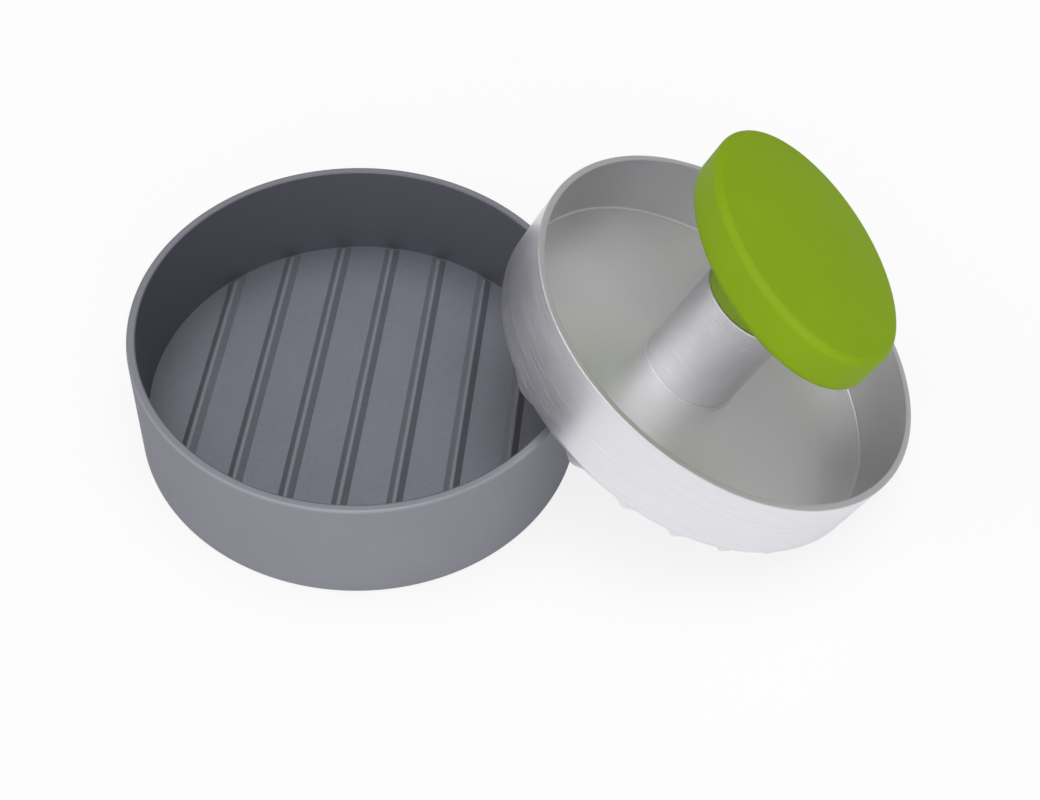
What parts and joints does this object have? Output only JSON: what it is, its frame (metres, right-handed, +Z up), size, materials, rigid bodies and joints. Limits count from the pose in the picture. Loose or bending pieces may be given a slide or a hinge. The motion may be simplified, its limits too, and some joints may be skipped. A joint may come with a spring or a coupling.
{
  "type": "patty press",
  "caption": "Two-part burger press: round ribbed mould pan, and a ribbed press plate with collar, turned post and oval soft knob, set down leaning on the pan.",
  "frame": {"origin": "centre of the pan's flat base, where it stands on the table", "axes": "+Z up; +X from the pan towards the side where the press leans, with its lower edge on the table"},
  "size_m": [0.2091, 0.12, 0.0834],
  "materials": {
    "dark_coat": "cast aluminium under a satin dark grey non-stick coat",
    "plate_aluminium": "bare aluminium, fine turning lines round the collar, satin floor",
    "post_aluminium": "turned, fine satin",
    "knob_plastic": "moulded, matte lime green",
    "soft_grip": "soft-touch, matte lime green",
    "insert_brass": "machined",
    "screw_steel": "stainless"
  },
  "bodies": {
    "pan_body": {"pan": "dark_coat"},
    "press": {"press_dish": "plate_aluminium", "post": "post_aluminium", "knob_core": "knob_plastic", "knob_cover": "soft_grip", "knob_insert": "insert_brass", "clamp_screw": "screw_steel"}
  },
  "joints": [
    {"name": "press_lift", "type": "slide", "parent": "pan_body", "child": "press", "axis": [0, 0, 1], "range_m": [0, 0.09]}
  ]
}
